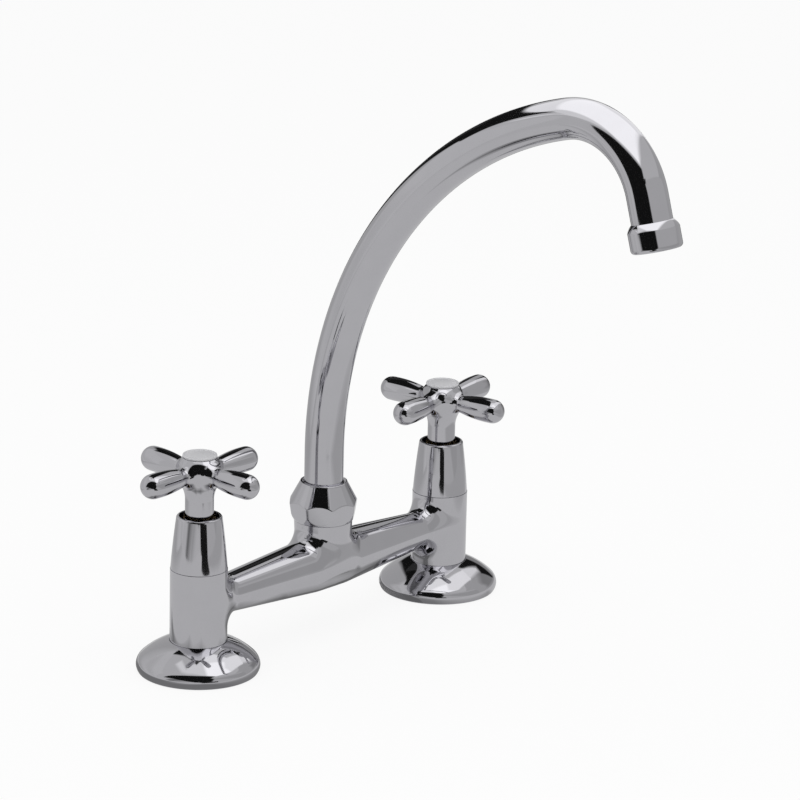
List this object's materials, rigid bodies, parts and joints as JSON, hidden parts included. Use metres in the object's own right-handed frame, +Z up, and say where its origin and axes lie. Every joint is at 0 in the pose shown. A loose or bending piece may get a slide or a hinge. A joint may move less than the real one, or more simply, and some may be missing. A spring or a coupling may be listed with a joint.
{
  "type": "bridge kitchen faucet",
  "caption": "Bridge kitchen faucet with cross handles, a swan-neck swivelling spout and threaded shanks that clamp it to a deck.",
  "frame": {"origin": "on the deck's top surface, midway between the two deck holes", "axes": "+Z up, out of the deck; +X along the bridge towards the right-hand pillar; the spout reaches towards -Y, over the sink"},
  "size_m": [0.2571, 0.2599, 0.3549],
  "materials": {
    "chrome": "bright polished chrome plating",
    "brass": "machined, unplated",
    "steel": "plain stainless steel",
    "ceramic": "lapped alumina",
    "rubber": "moulded black rubber",
    "fibre": "pressed fibre",
    "white_plastic": "smooth acetal",
    "grey_plastic": "moulded",
    "cap_plastic": "smooth, satin gloss"
  },
  "bodies": {
    "root": {"bridge_body": "chrome", "union_nut": "chrome", "swivel_washer": "white_plastic", "flange_left": "chrome", "base_seal_left": "rubber", "shank_left": "brass", "deck_rubber_washer_left": "rubber", "deck_steel_washer_left": "steel", "back_nut_left": "brass", "seat_seal_left": "rubber", "fixed_disc_left": "ceramic", "valve_body_left": "brass", "joint_washer_left": "fibre", "bonnet_left": "chrome", "flange_right": "chrome", "base_seal_right": "rubber", "shank_right": "brass", "deck_rubber_washer_right": "rubber", "deck_steel_washer_right": "steel", "back_nut_right": "brass", "seat_seal_right": "rubber", "fixed_disc_right": "ceramic", "valve_body_right": "brass", "joint_washer_right": "fibre", "bonnet_right": "chrome"},
    "left_handle": {"handle_left": "chrome", "handle_screw_left": "steel", "index_cap_left": "cap_plastic", "valve_spindle_left": "brass", "spindle_seals_left": "rubber", "spindle_clip_left": "steel", "moving_disc_left": "ceramic"},
    "right_handle": {"handle_right": "chrome", "handle_screw_right": "steel", "index_cap_right": "cap_plastic", "valve_spindle_right": "brass", "spindle_seals_right": "rubber", "spindle_clip_right": "steel", "moving_disc_right": "ceramic"},
    "spout": {"spout_tube": "chrome", "spout_bush": "brass", "spout_seals": "rubber", "spout_nozzle": "chrome", "aerator_washer": "rubber", "aerator_insert": "grey_plastic"}
  },
  "joints": [
    {"name": "left_handle_turn", "type": "hinge", "parent": "root", "child": "left_handle", "pos_m": [-0.09, 0, 0.0796], "axis": [0, 0, 1], "range_deg": [0, 90]},
    {"name": "right_handle_turn", "type": "hinge", "parent": "root", "child": "right_handle", "pos_m": [0.09, 0, 0.0796], "axis": [0, 0, 1], "range_deg": [-90, 0]},
    {"name": "spout_swivel", "type": "hinge", "parent": "root", "child": "spout", "pos_m": [0, 0, 0.0714], "axis": [0, 0, 1], "continuous": true}
  ]
}
